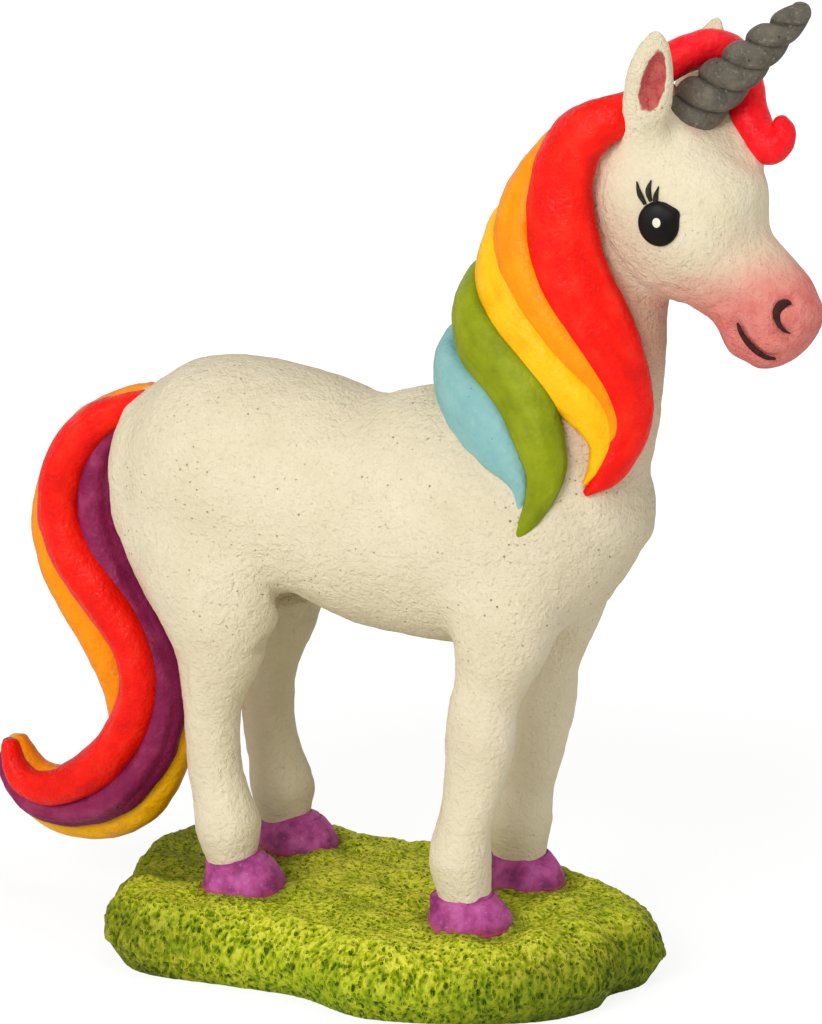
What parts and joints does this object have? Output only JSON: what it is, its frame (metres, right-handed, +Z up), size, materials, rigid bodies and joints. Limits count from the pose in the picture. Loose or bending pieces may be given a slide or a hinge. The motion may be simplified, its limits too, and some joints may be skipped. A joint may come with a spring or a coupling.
{
  "type": "aquarium ornament",
  "caption": "Painted resin unicorn standing on a lobed patch of turf, with a spiral horn and a rainbow mane and tail; stands flat on a tank floor or shelf.",
  "frame": {"origin": "centre of the flat underside of the turf base", "axes": "+X forward, the way the unicorn faces; +Y towards its left side; +Z up"},
  "size_m": [0.1168, 0.0462, 0.129],
  "materials": {
    "white_resin": "painted casting, fine stipple, matt",
    "turf_green": "painted casting, grass texture, matt",
    "hoof_purple": "painted, satin",
    "horn_grey": "painted, matt",
    "eye_black": "painted, glossy",
    "hair_red": "painted, satin",
    "hair_orange": "painted, satin",
    "hair_yellow": "painted, satin",
    "hair_green": "painted, satin",
    "hair_blue": "painted, matt",
    "hair_purple": "painted, satin"
  },
  "bodies": {
    "root": {"turf_base": "turf_green", "torso": "white_resin", "neck": "white_resin", "head": "white_resin", "horn": "horn_grey", "forelock": "hair_red", "right_ear": "white_resin", "right_eye": "eye_black", "right_fore_leg": "white_resin", "right_fore_hoof": "hoof_purple", "right_hind_leg": "white_resin", "right_hind_hoof": "hoof_purple", "left_ear": "white_resin", "left_eye": "eye_black", "left_fore_leg": "white_resin", "left_fore_hoof": "hoof_purple", "left_hind_leg": "white_resin", "left_hind_hoof": "hoof_purple", "mane_lock_red": "hair_red", "mane_lock_orange": "hair_orange", "mane_lock_yellow": "hair_yellow", "mane_lock_green": "hair_green", "mane_lock_blue": "hair_blue", "tail_lock_red": "hair_red", "tail_lock_purple": "hair_purple", "tail_lock_orange": "hair_orange", "tail_lock_gold": "hair_yellow"}
  },
  "joints": []
}
